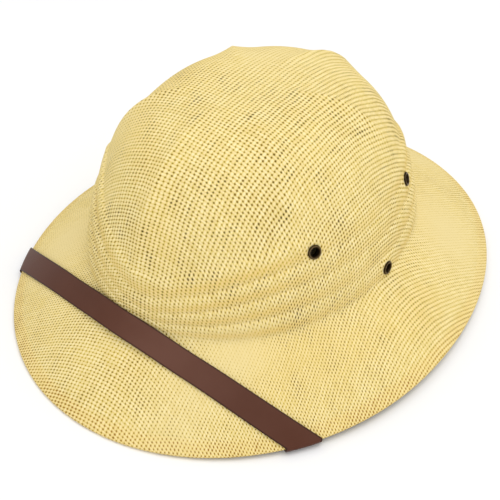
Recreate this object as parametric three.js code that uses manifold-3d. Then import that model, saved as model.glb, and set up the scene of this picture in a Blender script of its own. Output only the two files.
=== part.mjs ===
// A pith helmet of pressed woven straw with a leather chin strap, at its real size in millimetres.
// +Z is up, the front of the helmet faces -Y and the wearer's left is +X.
// The origin lies on the ground under the middle of the brim.
import * as THREE from 'three';
import { mergeVertices } from 'three/addons/utils/BufferGeometryUtils.js';
import Module from 'manifold-3d';

// Brim: an egg-shaped oval that rests on its front and back and is lifted a little at the sides
const brimWidth = 290;
const brimLength = 355.3;
const brimWidestAhead = 15.3;
const brimSideLift = 5.7;
const brimLiftPower = 1.7;
const restDepth = 0.3;
const brimRoundness = 0.2;
const rimHeight = 2;
const rimBulge = 0.8;
const hemWidth = 9;
const hemThickness = 2.7;
const footWidth = 2.5;

// Crown: a squarish dome on a smaller oval
const crownWidth = 192.6;
const crownLength = 233.8;
const crownWidestAhead = 4.5;
const crownAhead = 6.4;
const crownFootHeight = 45.5;
const crownFootDip = 1.2;
const helmetHeight = 150.3;
const domeRise = 1.48;
const domeReach = 3.42;
const strawWall = 2;

// Six pressed ridges that run in straight rays, seen from above, from a hub near the middle of the top
// over the shoulder. Angles are counted from the front towards the wearer's left. The hub's place and
// the ridges' start and full height are shares of the crown's radius.
const ridgeAngles = [14, 65, 118, 174, 230, 302];
const ridgeHub = { aside: -0.07, ahead: 0.055 };
const ridgeHeight = 2.8;
const ridgeHalfWidth = 18;
const ridgeStart = 0.15;
const ridgeFull = 0.75;
const ridgeFadeHeight = 0.8;
const ridgeFadeKeep = 0.55;

// Grooves between the pleats round the foot of the crown, from the highest down. atSides is the
// groove's height as a share of the crown's, atEnds is what is left of that share at front and back.
const grooves = [
  { atSides: 0.61, atEnds: 0.48 },
  { atSides: 0.495, atEnds: 0.33 },
  { atSides: 0.34, atEnds: 0.18 },
  { atSides: 0.185, atEnds: 0.13 },
  { atSides: 0, atEnds: 1 },
];
const pleatSweepAngle = 65;
const pleatTurn = 5;
const pleatBend = 8;
const pleatDepth = 1.7;
const pleatRoundness = 0.85;

// Eyelets on each side: angle from the front in degrees, height as a share of the crown's
const eyelets = [
  { name: 'front', angle: 67, height: 0.449, holdsStrap: false },
  { name: 'back', angle: 120, height: 0.401, holdsStrap: false },
  { name: 'low', angle: 97, height: 0.07, holdsStrap: true },
];
const eyeletBoreRadius = 2.8;
const eyeletBarrelRadius = 3.5;
const eyeletFlangeRadius = 4.7;
const eyeletBackFlangeRadius = 4.4;
const eyeletFlangeThickness = 0.9;

// Chin strap: it lies over the front of the brim, folds round both sides of the rim and runs under
// the brim to the low eyelets. Each edge crosses the rim at rimAngle and starts, at the front, at the
// share startReach of the brim's breadth. Within climbAngle of the front it rises off the brim, up the
// crown's foot, by up to climb. Under the brim it hangs down by strapSag.
const strapWidth = 16.5;
const strapThickness = 1.2;
const strapEdges = [
  { rimAngle: 52.3, startReach: 0.235, power: 2.4, climb: 2.6, climbAngle: 25 },
  { rimAngle: 60.5, startReach: 0.014, power: 2.5, climb: 4.3, climbAngle: 30 },
];
const strapSag = 1.2;
const strapTailSlope = 38;
const strapTailFirstClimb = 2.5;
const strapTailAfter = 11;

// The rounded tip: distance past the eyelet as a share of strapTailAfter, width as a share of the strap's
const strapTip = [
  { distance: 0.4, width: 1 },
  { distance: 0.7, width: 1 },
  { distance: 0.92, width: 0.7 },
  { distance: 1, width: 0.35 },
];

// Clearances
const fitGap = 0.3;
const strapGap = 0.35;
const strapBackGap = 0.6;

// Fineness of the faceted surfaces
const strawColumns = 72;
const panelRows = 10;
const panelRowSpread = 1.7;
const pleatRowShares = [0.25, 0.7];
const eyeletSides = 14;
const strapFrontSteps = 12;
const strapFoldSteps = 5;
const strapUnderSteps = 6;

const up = new THREE.Vector3(0, 0, 1);
const degree = Math.PI / 180;
const crownHeight = helmetHeight - crownFootHeight;
const crownCentreY = -(crownAhead + crownWidestAhead);

function mix(a, b, share) {
  return a + (b - a) * share;
}

function smooth(value, start, end) {
  return THREE.MathUtils.smoothstep(value, start, end);
}

// A point of an egg-shaped oval, seen from its widest place: the front half is the shorter one.
function oval(width, length, widestAhead, angle) {
  const half = length / 2 + (Math.cos(angle) > 0 ? -widestAhead : widestAhead);
  return {
    at: new THREE.Vector3(Math.sin(angle) * width / 2, -Math.cos(angle) * half, 0),
    outward: new THREE.Vector3(Math.sin(angle) * half, -Math.cos(angle) * width / 2, 0),
  };
}

function crownFootZ(angle) {
  return crownFootHeight - crownFootDip * Math.cos(angle) ** 2;
}

// The dome's section is a curve with height ** domeRise + radius ** domeReach = 1, both as shares.
// Lean goes along it from 0 at the top to a quarter turn at the foot.
function heightAtLean(lean) {
  return Math.max(0, Math.cos(lean)) ** (2 / domeRise);
}

function leanAtHeight(height) {
  return Math.acos(height ** (domeRise / 2));
}

// Point and outward normal of the plain dome, before ridges and pleats are pressed into it.
function crownPlace(angle, lean) {
  const height = heightAtLean(lean);
  const radius = Math.sin(lean) ** (2 / domeReach);
  const { at, outward } = oval(crownWidth, crownLength, crownWidestAhead, angle);
  const point = at.clone().multiplyScalar(radius);
  point.y += crownCentreY;
  point.z = mix(crownFootZ(angle), helmetHeight, height);
  const sideways = outward.clone().multiplyScalar(
    domeReach * radius ** (domeReach - 1) / outward.dot(at));
  const normal = up.clone().multiplyScalar(domeRise * height ** (domeRise - 1) / crownHeight);
  return { point, normal: normal.add(sideways).normalize() };
}

// Height of the brim's edge above the ground: flat at front and back, arched between them.
function edgeZ(angle) {
  const lift = brimSideLift * (1 - Math.abs(Math.cos(angle)) ** brimLiftPower);
  return Math.max(0, lift - restDepth);
}

function brimPoint(angle, reach) {
  const inner = oval(crownWidth, crownLength, crownWidestAhead, angle).at;
  const outer = oval(brimWidth, brimLength, brimWidestAhead, angle).at;
  inner.y += crownCentreY;
  outer.y -= brimWidestAhead;
  const point = inner.lerp(outer, reach);
  const fall = mix(reach, reach * reach, brimRoundness);
  point.z = mix(crownFootZ(angle), edgeZ(angle) + rimHeight, fall);
  return point;
}

// Point and upward normal of the brim. Reach is 0 at the crown's foot and 1 at the rim.
function brimPlace(angle, reach) {
  const step = 0.01;
  const along = brimPoint(angle + step, reach).sub(brimPoint(angle - step, reach));
  const out = brimPoint(angle, reach + step).sub(brimPoint(angle, reach - step));
  return { point: brimPoint(angle, reach), normal: out.cross(along).normalize() };
}

// The crease at the crown's foot. Its normal points halfway between those of crown and brim, and is
// longer than one, so that an offset along it keeps its distance from both.
function creasePlace(angle) {
  const crown = crownPlace(angle, Math.PI / 2).normal;
  const brim = brimPlace(angle, 0).normal;
  const mitre = 1 + crown.dot(brim);
  return { point: brimPoint(angle, 0), normal: crown.add(brim).divideScalar(mitre) };
}

function brimBreadth(angle) {
  return brimPoint(angle, 0).distanceTo(brimPoint(angle, 1));
}

function grooveHeight(groove, angle) {
  const fromEnd = Math.acos(Math.abs(Math.cos(angle - pleatTurn * degree)));
  const bent = Math.hypot(fromEnd, pleatBend * degree);
  const sweep = Math.sin(Math.min(1, bent / (pleatSweepAngle * degree)) * Math.PI / 2);
  return groove.atSides * mix(groove.atEnds, 1, sweep);
}

// How far the pleats stand out of the dome. A pleat is lower where it is narrower.
function pleatRelief(angle, height) {
  for (let i = 0; i + 1 < grooves.length; i += 1) {
    const top = grooveHeight(grooves[i], angle);
    const bottom = grooveHeight(grooves[i + 1], angle);
    if (height < top && height > bottom) {
      const share = (top - height) / (top - bottom);
      const fullness = (top - bottom) / (grooves[i].atSides - grooves[i + 1].atSides);
      return pleatDepth * fullness * Math.sin(Math.PI * share) ** pleatRoundness;
    }
  }
  return 0;
}

// How far the nearest ridge stands out: a sharp crest that fades towards the hub and the pleats.
function ridgeRelief(angle, lean) {
  const height = heightAtLean(lean);
  const radius = Math.sin(lean) ** (2 / domeReach);
  const aside = radius * Math.sin(angle) - ridgeHub.aside;
  const ahead = radius * Math.cos(angle) - ridgeHub.ahead;
  const bearing = Math.atan2(aside, ahead);
  const turns = ridgeAngles.map((ridge) => Math.abs(Math.cos((bearing - ridge * degree) / 2)));
  const distance = 2 * Math.acos(Math.min(1, Math.max(...turns)));
  const crest = Math.max(0, 1 - distance / (ridgeHalfWidth * degree)) ** 2;
  const rise = smooth(Math.hypot(aside, ahead), ridgeStart, ridgeFull);
  const pleatsTop = grooveHeight(grooves[0], angle);
  const fade = mix(ridgeFadeKeep, 1, smooth(height, pleatsTop, ridgeFadeHeight));
  const end = smooth(height, grooveHeight(grooves[1], angle), pleatsTop);
  return ridgeHeight * crest * rise * fade * end;
}

function relief(angle, lean) {
  return ridgeRelief(angle, lean) + pleatRelief(angle, heightAtLean(lean));
}

// A point at a distance from a place, along its normal.
function offset(place, distance) {
  return place.point.clone().addScaledVector(place.normal, distance);
}

function crownSkin(angle, lean, depth) {
  return offset(crownPlace(angle, lean), relief(angle, lean) - depth);
}

// One lean for each ring of the crown, from near the top to the lowest groove but the crease.
function crownLeans(angle, rows, shares) {
  const topLean = leanAtHeight(grooveHeight(grooves[0], angle));
  const leans = [];
  for (let row = 1; row <= rows; row += 1) {
    leans.push(topLean * (row / rows) ** panelRowSpread);
  }
  for (let i = 0; i + 1 < grooves.length; i += 1) {
    const stops = i + 2 < grooves.length ? [...shares, 1] : shares;
    for (const share of stops) {
      const height = mix(grooveHeight(grooves[i], angle), grooveHeight(grooves[i + 1], angle), share);
      leans.push(leanAtHeight(height));
    }
  }
  return leans;
}

// The rim: the outer corner of the straw, a rounded edge, and the hem turned under it.
// Only the front and back of the hem are pressed flat, where the helmet rests.
function rimPoints(angle) {
  const breadth = brimBreadth(angle);
  const rim = brimPlace(angle, 1);
  const outward = brimPoint(angle, 1).sub(brimPoint(angle, 0)).normalize();
  const bottom = offset(rim, -hemThickness);
  bottom.z = edgeZ(angle);
  const edge = rim.point.clone().lerp(bottom, 0.5).addScaledVector(outward, rimBulge);
  const foot = offset(brimPlace(angle, 1 - footWidth / breadth), -hemThickness);
  const flatness = smooth(Math.abs(Math.cos(angle)), Math.cos(35 * degree), Math.cos(15 * degree));
  foot.z = mix(foot.z, bottom.z, flatness);
  const hemInside = brimPlace(angle, 1 - hemWidth / breadth);
  const hemEnd = brimPlace(angle, 1 - (hemWidth + 1) / breadth);
  return [rim.point, edge, bottom, foot, offset(hemInside, -hemThickness), offset(hemEnd, -strawWall)];
}

// All points of the helmet's section at one angle, from the outer top round the rim to the inner top.
function strawSection(angle) {
  const outer = crownLeans(angle, panelRows, pleatRowShares).map((lean) => crownSkin(angle, lean, 0));
  const inner = crownLeans(angle, Math.round(panelRows * 0.7), [0.5])
    .map((lean) => crownSkin(angle, lean, strawWall));
  const hemLine = 1 - hemWidth / brimBreadth(angle);
  const top = [0.1, 0.4, 0.7].map((share) => brimPoint(angle, share * hemLine));
  const under = [0.7, 0.35].map((share) => offset(brimPlace(angle, share * hemLine), -strawWall));
  return [
    ...outer,
    brimPoint(angle, 0),
    ...top,
    brimPoint(angle, hemLine),
    ...rimPoints(angle),
    ...under,
    offset(creasePlace(angle), -strawWall),
    ...inner.reverse(),
  ];
}

function geometryOf(points, triangles) {
  const geometry = new THREE.BufferGeometry();
  geometry.setAttribute('position', new THREE.Float32BufferAttribute(points.flatMap((p) => p.toArray()), 3));
  geometry.setIndex(triangles);
  return geometry;
}

// Two triangles for each cell between neighbouring rings of equal length, closed round each ring.
// A cell is split along its shorter diagonal.
function ringTriangles(rings) {
  const points = rings.flat();
  const ringLength = rings[0].length;
  const triangles = [];
  for (let ring = 0; ring + 1 < rings.length; ring += 1) {
    for (let i = 0; i < ringLength; i += 1) {
      const next = (i + 1) % ringLength;
      const a = ring * ringLength + i;
      const b = ring * ringLength + next;
      const c = a + ringLength;
      const d = b + ringLength;
      if (points[a].distanceTo(points[d]) < points[b].distanceTo(points[c])) {
        triangles.push(a, c, d, a, d, b);
      } else {
        triangles.push(a, c, b, b, c, d);
      }
    }
  }
  return triangles;
}

// A body of rings, closed at each end by a fan round one point.
function ringBody(rings, firstPoint, lastPoint) {
  const ringLength = rings[0].length;
  const points = [...rings.flat(), firstPoint, lastPoint];
  const triangles = ringTriangles(rings);
  const lastRing = (rings.length - 1) * ringLength;
  for (let i = 0; i < ringLength; i += 1) {
    const next = (i + 1) % ringLength;
    triangles.push(points.length - 2, i, next);
    triangles.push(points.length - 1, lastRing + next, lastRing + i);
  }
  return geometryOf(points, triangles);
}

function helmetShell() {
  const sections = [];
  for (let column = 0; column < strawColumns; column += 1) {
    sections.push(strawSection(2 * Math.PI * column / strawColumns));
  }
  const rings = sections[0].map((point, row) => sections.map((section) => section[row]));
  const outerTop = crownPlace(0, 0).point;
  return ringBody(rings, outerTop, outerTop.clone().addScaledVector(up, -strawWall));
}

// Where an eyelet sits: its axis is the dome's normal, with 0 on the straw's outer face.
function eyeletSeat(eyelet, side) {
  const lean = leanAtHeight(eyelet.height);
  const place = crownPlace(eyelet.angle * degree, lean);
  const standOut = relief(eyelet.angle * degree, lean);
  const point = offset(place, standOut);
  const normal = place.normal.clone();
  point.x *= side;
  normal.x *= side;
  const straw = strawWall + fitGap;
  const strap = standOut + strawWall + strapGap + strapThickness + strapBackGap;
  const behind = eyelet.holdsStrap ? strap : straw;
  return { point, normal, behind };
}

function latheAt(profile, sides, seat) {
  const geometry = new THREE.LatheGeometry(profile.map(([r, y]) => new THREE.Vector2(r, y)), sides);
  const turn = new THREE.Quaternion().setFromUnitVectors(new THREE.Vector3(0, 1, 0), seat.normal);
  geometry.applyQuaternion(turn);
  return geometry.translate(seat.point.x, seat.point.y, seat.point.z);
}

// A flanged ring: front flange on the straw, barrel through it, and the rolled flange behind.
function eyeletRing(seat) {
  const face = fitGap + eyeletFlangeThickness;
  const back = -seat.behind - eyeletFlangeThickness;
  return latheAt([
    [eyeletBoreRadius, back],
    [eyeletBackFlangeRadius, back],
    [eyeletBackFlangeRadius, -seat.behind],
    [eyeletBarrelRadius, -seat.behind],
    [eyeletBarrelRadius, fitGap],
    [eyeletFlangeRadius, fitGap],
    [mix(eyeletBarrelRadius, eyeletFlangeRadius, 0.6), face],
    [eyeletBoreRadius, mix(fitGap, face, 0.5)],
    [eyeletBoreRadius, back],
  ], eyeletSides, seat);
}

// What an eyelet takes out of the straw: its hole, and room for both flanges to lie flat.
function strawCutter(seat) {
  const room = 6;
  const holeRadius = eyeletBarrelRadius + fitGap;
  const frontRadius = eyeletFlangeRadius + fitGap;
  return latheAt([
    [0, -strawWall - room],
    [frontRadius, -strawWall - room],
    [frontRadius, -strawWall],
    [holeRadius, -strawWall],
    [holeRadius, 0],
    [frontRadius, 0],
    [frontRadius, room],
    [0, room],
  ], eyeletSides, seat);
}

function strapCutter(seat) {
  const holeRadius = eyeletBarrelRadius + fitGap;
  const depth = seat.behind + strapThickness;
  return latheAt([[0, -depth], [holeRadius, -depth], [holeRadius, 0], [0, 0]], eyeletSides, seat);
}

// Three places across the strap where it lies on the front of the brim, at a share of the way from
// the middle of the front to the rim.
function strapOverBrim(share) {
  const onEdge = strapEdges.map((edge) => ({
    angle: share * edge.rimAngle * degree,
    reach: edge.startReach + (1 - edge.startReach) * share ** edge.power,
    climb: edge.climb * Math.max(0, 1 - (share * edge.rimAngle / edge.climbAngle) ** 2) ** 2,
  }));
  return [0, 0.5, 1].map((across) => {
    const angle = mix(onEdge[0].angle, onEdge[1].angle, across);
    const place = brimPlace(angle, mix(onEdge[0].reach, onEdge[1].reach, across));
    const point = offset(place, strapGap + strapThickness / 2);
    point.z += mix(onEdge[0].climb, onEdge[1].climb, across);
    return { point, normal: place.normal };
  });
}

// The same three places where the strap folds round the rim, turned about the middle of the hem.
function strapRoundRim(turn) {
  const room = strapGap + strapThickness / 2;
  return [0, 0.5, 1].map((across) => {
    const angle = mix(strapEdges[0].rimAngle, strapEdges[1].rimAngle, across) * degree;
    const rim = brimPlace(angle, 1);
    const outward = brimPoint(angle, 1).sub(brimPoint(angle, 0)).normalize();
    const normal = rim.normal.clone().multiplyScalar(Math.cos(turn))
      .addScaledVector(outward, Math.sin(turn));
    const point = offset(rim, (Math.cos(turn) - 1) * hemThickness / 2 + Math.cos(turn) * room)
      .addScaledVector(outward, Math.sin(turn) * (rimBulge + room));
    return { point, normal };
  });
}

// A place for the strap on the inner face of the straw. Climb is the distance from the crease at the
// crown's foot: up the crown where it is positive, out under the brim where it is negative.
function insidePlace(angle, climb) {
  if (climb === 0) {
    return creasePlace(angle);
  }
  return climb > 0
    ? crownPlace(angle, leanAtHeight(climb / crownHeight))
    : brimPlace(angle, -climb / brimBreadth(angle));
}

function strapInside(edges, sag) {
  const middle = {
    angle: mix(edges[0].angle, edges[1].angle, 0.5),
    climb: mix(edges[0].climb, edges[1].climb, 0.5),
  };
  return [edges[0], middle, edges[1]].map(({ angle, climb }) => {
    const place = insidePlace(angle, climb);
    const depth = (climb < 0 ? hemThickness : strawWall) + strapGap + strapThickness / 2 + sag;
    return { point: offset(place, -depth), normal: place.normal.clone().negate() };
  });
}

// The tail climbs the inner face of the crown in a straight slanting line through the low eyelet.
// Both edges of a section of it, at a distance along the tail from the eyelet.
function tailEdges(distance, widthShare) {
  const low = eyelets.find((eyelet) => eyelet.holdsStrap);
  const slope = strapTailSlope * degree;
  const halfLength = crownLength / 2;
  return [1, -1].map((side) => {
    const aside = side * widthShare * strapWidth / 2;
    const forward = distance * Math.cos(slope) - aside * Math.sin(slope);
    return {
      angle: low.angle * degree + forward / halfLength,
      climb: low.height * crownHeight + distance * Math.sin(slope) + aside * Math.cos(slope),
    };
  });
}

// Where the edges of the tail cross a line at one height over the crease.
function tailCrossing(climb) {
  const slope = strapTailSlope * degree;
  return tailEdges(0, 1).map((edge) => ({
    angle: edge.angle + (climb - edge.climb) / Math.tan(slope) / (crownLength / 2),
    climb,
  }));
}

// The strap's stretch under the brim, at a share of the way from the rim to the crease.
function underEdges(share) {
  const atCrease = tailCrossing(0);
  return strapEdges.map((edge, i) => {
    const rimAngle = edge.rimAngle * degree;
    return {
      angle: mix(rimAngle, atCrease[i].angle, share),
      climb: mix(-brimBreadth(rimAngle), 0, share),
    };
  });
}

// Half of the strap, from the middle of the front to the tip of the tail on the wearer's left.
function strapHalf() {
  const sections = [];
  for (let step = 0; step <= strapFrontSteps; step += 1) {
    sections.push(strapOverBrim(step / strapFrontSteps));
  }
  for (let step = 1; step <= strapFoldSteps; step += 1) {
    sections.push(strapRoundRim(Math.PI * step / strapFoldSteps));
  }
  for (let step = 1; step <= strapUnderSteps; step += 1) {
    const share = step / strapUnderSteps;
    sections.push(strapInside(underEdges(share), strapSag * Math.sin(Math.PI * share)));
  }
  sections.push(strapInside(tailCrossing(strapTailFirstClimb), 0));
  for (const { distance, width } of strapTip) {
    sections.push(strapInside(tailEdges(distance * strapTailAfter, width), 0));
  }
  return sections;
}

function mirrored(section) {
  const flip = new THREE.Vector3(-1, 1, 1);
  return section.map(({ point, normal }) => ({
    point: point.clone().multiply(flip),
    normal: normal.clone().multiply(flip),
  }));
}

function chinStrap() {
  const left = strapHalf();
  const right = left.slice(1).map(mirrored).reverse();
  const rings = [...right, ...left].map((section) => {
    const outer = section.map((place) => offset(place, strapThickness / 2));
    const inner = section.map((place) => offset(place, -strapThickness / 2));
    return [...outer, ...inner.reverse()];
  });
  const middle = (ring) => ring[1].clone().lerp(ring[4], 0.5);
  return ringBody(rings, middle(rings[0]), middle(rings[rings.length - 1]));
}

const wasm = await Module();
wasm.setup();

function solidOf(geometry) {
  const bare = geometry.clone();
  bare.deleteAttribute('normal');
  bare.deleteAttribute('uv');
  const merged = mergeVertices(bare, 1e-3);
  return new wasm.Manifold(new wasm.Mesh({
    numProp: 3,
    vertProperties: new Float32Array(merged.attributes.position.array),
    triVerts: new Uint32Array(merged.index.array),
  }));
}

function cut(geometry, cutters) {
  const solid = cutters.reduce((body, cutter) => body.subtract(solidOf(cutter)), solidOf(geometry));
  const mesh = solid.getMesh();
  const result = new THREE.BufferGeometry();
  result.setAttribute('position', new THREE.BufferAttribute(new Float32Array(mesh.vertProperties), 3));
  result.setIndex(new THREE.BufferAttribute(new Uint32Array(mesh.triVerts), 1));
  return result;
}

const straw = { color: 0xe9d59a, roughness: 0.85, metalness: 0 };
const leather = { color: 0x5d3f33, roughness: 0.5, metalness: 0 };
const brass = { color: 0x5a4a30, roughness: 0.45, metalness: 0.9 };

function named(name, geometry, finish) {
  const mesh = new THREE.Mesh(geometry, new THREE.MeshStandardMaterial(finish));
  mesh.name = name;
  return mesh;
}

const seats = [];
for (const [sideName, side] of [['left', 1], ['right', -1]]) {
  for (const eyelet of eyelets) {
    seats.push({ name: `eyelet_${sideName}_${eyelet.name}`, eyelet, ...eyeletSeat(eyelet, side) });
  }
}

const helmet = new THREE.Group();
helmet.add(named('helmet_shell', cut(helmetShell(), seats.map(strawCutter)), straw));
const strapSeats = seats.filter((seat) => seat.eyelet.holdsStrap);
helmet.add(named('chin_strap', cut(chinStrap(), strapSeats.map(strapCutter)), leather));
for (const seat of seats) {
  helmet.add(named(seat.name, eyeletRing(seat), brass));
}

export default helmet;
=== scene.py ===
# %% [markdown]
# # A pith helmet of pressed straw
# The real helmet is one sheet of open straw weave, steamed over a block, with eyelets for air and a
# leather strap. The imported CAD model gives every size and place in metres. This lesson makes its
# surfaces finer, draws its pleats and ridges crisper, and gives each piece its finish. First the frame
# is loaded.

# %% Load the frame
import math

import bpy
import numpy as np
from mathutils import Matrix, Vector


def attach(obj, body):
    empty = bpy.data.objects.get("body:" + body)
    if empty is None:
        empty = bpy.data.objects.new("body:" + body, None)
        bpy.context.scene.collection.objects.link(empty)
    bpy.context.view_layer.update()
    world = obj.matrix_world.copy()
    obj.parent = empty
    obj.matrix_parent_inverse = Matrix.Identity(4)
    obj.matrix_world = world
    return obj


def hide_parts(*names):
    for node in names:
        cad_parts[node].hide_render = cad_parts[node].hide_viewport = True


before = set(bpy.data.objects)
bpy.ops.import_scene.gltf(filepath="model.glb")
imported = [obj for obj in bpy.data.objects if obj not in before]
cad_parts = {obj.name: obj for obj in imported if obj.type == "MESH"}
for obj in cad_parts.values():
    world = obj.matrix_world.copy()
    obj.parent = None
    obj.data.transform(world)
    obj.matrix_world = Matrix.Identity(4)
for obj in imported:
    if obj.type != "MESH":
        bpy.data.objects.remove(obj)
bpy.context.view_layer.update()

# %% [markdown]
# ## The camera
# The photo was taken from the front and the wearer's left, well above the brim. The angles, the
# distance and the lens come from solving the camera and the hat's outline together. The camera's own
# axes are written straight into its matrix, because that keeps the slight roll exact.

# %% Place the camera
CAMERA_AZIMUTH = math.radians(40.546)
CAMERA_ELEVATION = math.radians(41.282)
CAMERA_ROLL = math.radians(0.357)
CAMERA_DISTANCE = 0.7
CAMERA_TARGET = Vector((0.01614, -0.03137, 0.04424))
CAMERA_LENS = 79.26

back = Vector((math.sin(CAMERA_AZIMUTH) * math.cos(CAMERA_ELEVATION),
               -math.cos(CAMERA_AZIMUTH) * math.cos(CAMERA_ELEVATION),
               math.sin(CAMERA_ELEVATION)))
level = Vector((0, 0, 1)).cross(back).normalized()
upright = back.cross(level)
right = level * math.cos(CAMERA_ROLL) + upright * math.sin(CAMERA_ROLL)
camera_up = upright * math.cos(CAMERA_ROLL) - level * math.sin(CAMERA_ROLL)

camera_data = bpy.data.cameras.new("camera")
camera_data.lens = CAMERA_LENS
camera_data.clip_start = 0.01
camera = bpy.data.objects.new("camera", camera_data)
turn = Matrix((right, camera_up, back)).transposed()
camera.matrix_world = Matrix.Translation(CAMERA_TARGET + back * CAMERA_DISTANCE) @ turn.to_4x4()
bpy.context.scene.collection.objects.link(camera)
bpy.context.scene.camera = camera
print("camera at", tuple(round(c, 3) for c in camera.matrix_world.translation))

# %% [markdown]
# A product photo shows pale straw in its full colour. The Standard view shows each colour as it is,
# while the default view would take the yellow out of the brightest places.

# %% Choose the view
bpy.context.scene.view_settings.view_transform = "Standard"
print("view", bpy.context.scene.view_settings.view_transform)

# %% [markdown]
# ## Shader maths as plain expressions
# A node tree is hard to read when each Math node is wired by hand. Here a small class wraps a socket
# and turns +, -, * and / into Math nodes, so the weave can be written as a formula. Every other node
# comes from one method of the finish: its type, its settings, then its inputs.


# %% A field and a finish
class Field:
    """A shader value that can be used in sums and products with numbers and other fields."""

    def __init__(self, finish, socket):
        self.finish = finish
        self.socket = socket

    def math(self, operation, *others):
        """A Math node of this operation, with this field as its first input."""
        inputs = dict(enumerate((self, *others)))
        return self.finish.add("ShaderNodeMath", {"operation": operation}, inputs)

    def __add__(self, other):
        return self.math("ADD", other)

    def __sub__(self, other):
        return self.math("SUBTRACT", other)

    def __mul__(self, other):
        return self.math("MULTIPLY", other)

    def __truediv__(self, other):
        return self.math("DIVIDE", other)

    def __pow__(self, other):
        return self.math("POWER", other)

    def __rsub__(self, other):
        return self.math("MULTIPLY_ADD", -1.0, other)

    __radd__ = __add__
    __rmul__ = __mul__

    def smooth(self, start, end, low=0.0, high=1.0):
        """Goes smoothly from low at start to high at end."""
        inputs = {"Value": self, "From Min": start, "From Max": end, "To Min": low, "To Max": high}
        return self.finish.add("ShaderNodeMapRange", {"interpolation_type": "SMOOTHSTEP"}, inputs)


class Finish:
    """A material with its node tree; constants go straight onto the shader's own sockets."""

    def __init__(self, name, **constants):
        self.material = bpy.data.materials.new(name)
        self.material.use_nodes = True
        self.tree = self.material.node_tree
        self.shader = self.tree.nodes["Principled BSDF"]
        for socket, value in constants.items():
            self.shader.inputs[socket.replace("_", " ")].default_value = value

    def add(self, kind, settings=None, inputs=None, output=0):
        """Adds a node: first its settings, then its sockets' values or links."""
        node = self.tree.nodes.new(kind)
        for setting, value in (settings or {}).items():
            setattr(node, setting, value)
        for socket, value in (inputs or {}).items():
            self.feed(node.inputs[socket], value)
        return Field(self, node.outputs[output])

    def feed(self, socket, value):
        """Links a field to the socket, or writes a plain value onto it."""
        if isinstance(value, Field):
            self.tree.links.new(value.socket, socket)
        else:
            socket.default_value = value

    def mix(self, factor, first, second):
        """Mixes two colours or colour fields."""
        inputs = {"Factor": factor, 6: first, 7: second}
        return self.add("ShaderNodeMix", {"data_type": "RGBA"}, inputs, output=2)

    def attribute(self, name):
        """Reads a value that the mesh holds for each of its points."""
        return self.add("ShaderNodeAttribute", {"attribute_name": name}, output="Fac")

    def noise(self, scale, vector=None, detail=2.0, roughness=0.5):
        """Noise between 0 and 1 about 0.5, on the object's own place or on another vector."""
        if vector is None:
            vector = self.add("ShaderNodeTexCoord", output="Object")
        inputs = {"Vector": vector, "Scale": scale, "Detail": detail, "Roughness": roughness}
        return self.add("ShaderNodeTexNoise", None, inputs)

    def paint(self, **fields):
        """Feeds the shader's sockets by their names."""
        for socket, value in fields.items():
            self.feed(self.shader.inputs[socket.replace("_", " ")], value)

    def bump(self, height, distance, strength):
        """Tilts the shader's normal as if the surface rose by height times distance."""
        inputs = {"Height": height, "Distance": distance, "Strength": strength}
        self.feed(self.shader.inputs["Normal"], self.add("ShaderNodeBump", None, inputs))


print("sums of fields become Math nodes")

# %% [markdown]
# ## Sizes of the straw
# These are the sizes of the CAD model, in metres. The crown is a squarish dome on an egg-shaped oval,
# the brim a larger egg-shaped oval that is arched a little at the sides. Shares count from 0 to 1.

# %% Name the sizes
BRIM_WIDTH = 0.290
BRIM_LENGTH = 0.3553
BRIM_WIDEST_AHEAD = 0.0153
BRIM_SIDE_LIFT = 0.0057
BRIM_LIFT_POWER = 1.7
REST_DEPTH = 0.0003
BRIM_ROUNDNESS = 0.2
RIM_HEIGHT = 0.002
RIM_BULGE = 0.0008
HEM_WIDTH = 0.009
HEM_THICKNESS = 0.0027

CROWN_WIDTH = 0.1926
CROWN_LENGTH = 0.2338
CROWN_WIDEST_AHEAD = 0.0045
CROWN_CENTRE_Y = -0.0109
CROWN_FOOT_HEIGHT = 0.0455
CROWN_FOOT_DIP = 0.0012
HELMET_HEIGHT = 0.1503
DOME_RISE = 1.48
DOME_REACH = 3.42
STRAW_WALL = 0.002
CROWN_HEIGHT = HELMET_HEIGHT - CROWN_FOOT_HEIGHT
print("brim", BRIM_WIDTH, "x", BRIM_LENGTH, "crown", CROWN_WIDTH, "x", CROWN_LENGTH)

# %% [markdown]
# ## Plain shapes of crown and brim
# Both surfaces are functions of two parameters. The angle goes round the hat from its front towards
# the wearer's left. The lean goes down the dome from its top to its foot, and the reach goes out over
# the brim from the crown's foot to the rim. Each function works on whole arrays at once.


# %% Shape the dome and the brim
def smoothstep(value, start, end):
    """3 t^2 - 2 t^3 of the share t of the way from start to end."""
    t = np.clip((value - start) / (end - start), 0, 1)
    return t * t * (3 - 2 * t)


def oval(width, length, widest_ahead, angle):
    """x = sin(angle) width / 2 and y = -cos(angle) (length / 2 - widest_ahead) on the front half. On the
    back half widest_ahead is added instead."""
    half = length / 2 - np.sign(np.cos(angle)) * widest_ahead
    return np.sin(angle) * width / 2, -np.cos(angle) * half


def crown_foot(angle):
    """CROWN_FOOT_HEIGHT - CROWN_FOOT_DIP cos(angle)^2."""
    return CROWN_FOOT_HEIGHT - CROWN_FOOT_DIP * np.cos(angle) ** 2


def dome_height(lean):
    """Height share cos(lean) ^ (2 / DOME_RISE)."""
    return np.clip(np.cos(lean), 0, 1) ** (2 / DOME_RISE)


def dome_radius(lean):
    """Radius share sin(lean) ^ (2 / DOME_REACH)."""
    return np.sin(lean) ** (2 / DOME_REACH)


def lean_at(height):
    """Lean at which the dome has this height share."""
    return np.arccos(np.clip(height, 0, 1) ** (DOME_RISE / 2))


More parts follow.
